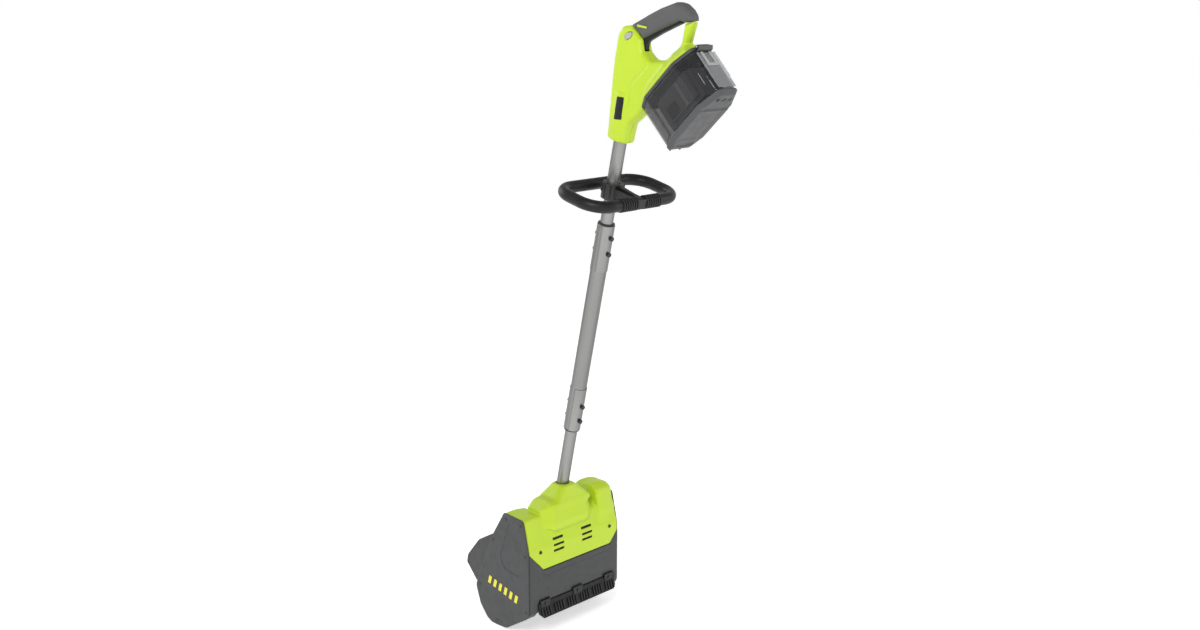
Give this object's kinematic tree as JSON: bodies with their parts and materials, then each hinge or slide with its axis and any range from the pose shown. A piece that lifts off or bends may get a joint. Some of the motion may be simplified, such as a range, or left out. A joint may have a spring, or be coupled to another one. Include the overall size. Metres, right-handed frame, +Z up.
{
  "type": "cordless snow shovel",
  "caption": "Battery powered snow shovel: a belt-driven paddle auger head on a jointed shaft, with a sliding loop handle, a trigger D-grip and a covered battery bay.",
  "frame": {"origin": "centre of the whole part's box on the ground plane, under the skids' lowest point", "axes": "+Z up with the head level and the shaft leaning back, -Y is the snow intake, +X is the operator's left"},
  "size_m": [0.2824, 0.6834, 1.4099],
  "materials": {
    "black_plastic": "black moulded plastic",
    "black_rubber": "soft black rubber",
    "black_steel": "black oxide",
    "board_green": "solder-masked board",
    "button_plastic": "light grey plastic",
    "cable_jacket": "cable sheath",
    "cap_plastic": "mid-grey moulded plastic",
    "cast_alloy": "die-cast",
    "clear_plastic": "frosted clear plastic",
    "grip_rubber": "grey soft-touch overmould",
    "housing_plastic": "dark grey moulded plastic",
    "lime_plastic": "moulded lime plastic",
    "red_plastic": "red plastic",
    "smoked_plastic": "smoked clear polycarbonate",
    "steel": "machined steel",
    "tube_metal": "satin grey metallic coat"
  },
  "bodies": {
    "frame": {"auger_housing": "housing_plastic", "front_hood": "housing_plastic", "left_side_plate": "housing_plastic", "right_side_plate": "housing_plastic", "belt_cover": "housing_plastic", "top_cover": "lime_plastic", "shaft_socket": "cast_alloy", "scraper": "black_plastic", "scraper_screws": "black_steel", "belt_cover_screws": "black_steel", "top_cover_screws": "black_steel", "side_plate_screws": "black_steel", "motor_can": "steel", "motor_clamps": "black_plastic", "drive_belt": "black_rubber", "left_bearing": "steel", "right_bearing": "steel", "lower_tube": "tube_metal", "middle_tube": "tube_metal", "upper_tube": "tube_metal", "lower_bushing": "black_plastic", "upper_bushing": "black_plastic", "joint_bolts": "black_steel", "joint_nuts": "black_steel", "power_cable": "cable_jacket", "handle_shell_left": "lime_plastic", "handle_shell_right": "lime_plastic", "grip_overmould": "grip_rubber", "trigger_pin": "steel", "trigger_spring": "steel", "main_switch": "black_plastic", "control_board": "board_green", "handle_screws": "black_steel", "battery_base": "housing_plastic", "terminal_block": "black_plastic", "hinge_pin": "steel"},
    "auger": {"auger_shaft": "steel", "auger_core": "black_plastic", "auger_blades": "black_rubber", "auger_pulley": "black_plastic"},
    "rotor": {"motor_shaft": "steel", "motor_fan": "black_plastic", "drive_pulley": "cast_alloy"},
    "loop": {"loop_handle": "black_plastic", "loop_grips": "black_rubber", "handle_bracket": "black_plastic", "clamp_jaw": "black_plastic", "clamp_screws": "black_steel"},
    "trigger": {"trigger": "black_plastic"},
    "plunger": {"switch_plunger": "red_plastic"},
    "lock_off": {"lock_off_button": "button_plastic"},
    "cover": {"cover_window": "smoked_plastic", "cover_cap": "cap_plastic", "latch_pin": "steel"},
    "latch": {"cover_latch": "clear_plastic"},
    "battery": {"battery_case": "housing_plastic", "battery_stem": "black_plastic"},
    "pack_latch_left": {"battery_latch_left": "black_plastic"},
    "pack_latch_right": {"battery_latch_right": "black_plastic"}
  },
  "joints": [
    {"name": "auger_spin", "type": "hinge", "parent": "frame", "child": "auger", "pos_m": [-0.00575, -0.19874, 0.097], "axis": [1, 0, 0], "continuous": true},
    {"name": "motor_spin", "type": "hinge", "parent": "frame", "child": "rotor", "pos_m": [-0.00575, -0.13274, 0.259], "axis": [1, 0, 0], "continuous": true},
    {"name": "loop_slide", "type": "slide", "parent": "frame", "child": "loop", "axis": [0, 0.225, 0.9744], "range_m": [-0.05, 0.08]},
    {"name": "trigger_pull", "type": "hinge", "parent": "frame", "child": "trigger", "pos_m": [-0.00575, 0.22241, 1.38723], "axis": [-1, 0, 0], "range_deg": [0, 5], "stiffness_Nm_per_rad": 2, "deforming": ["trigger_spring"]},
    {"name": "plunger_push", "type": "slide", "parent": "frame", "child": "plunger", "axis": [0, -0.9744, 0.225], "range_m": [0, 0.0078]},
    {"name": "lock_off_press", "type": "slide", "parent": "frame", "child": "lock_off", "axis": [1, 0, 0], "range_m": [-0.002, 0.002], "stiffness_N_per_m": 300},
    {"name": "cover_hinge", "type": "hinge", "parent": "frame", "child": "cover", "pos_m": [-0.00575, 0.27368, 1.32783], "axis": [1, 0, 0], "range_deg": [0, 85]},
    {"name": "latch_flick", "type": "hinge", "parent": "cover", "child": "latch", "pos_m": [-0.00575, 0.20415, 1.13016], "axis": [1, 0, 0], "range_deg": [0, 25], "stiffness_Nm_per_rad": 0.3},
    {"name": "battery_lift", "type": "slide", "parent": "frame", "child": "battery", "axis": [0, 0.6845, -0.729], "range_m": [0, 0.006]},
    {"name": "pack_latch_left_press", "type": "slide", "parent": "battery", "child": "pack_latch_left", "axis": [-1, 0, 0], "range_m": [0, 0.0025], "stiffness_N_per_m": 800},
    {"name": "pack_latch_right_press", "type": "slide", "parent": "battery", "child": "pack_latch_right", "axis": [1, 0, 0], "range_m": [0, 0.0025], "stiffness_N_per_m": 800}
  ],
  "couplings": [
    {"joint": "motor_spin", "follows": "auger_spin", "ratio": 3.8333},
    {"joint": "plunger_push", "follows": "trigger_pull", "m_per_rad": 0.088}
  ]
}
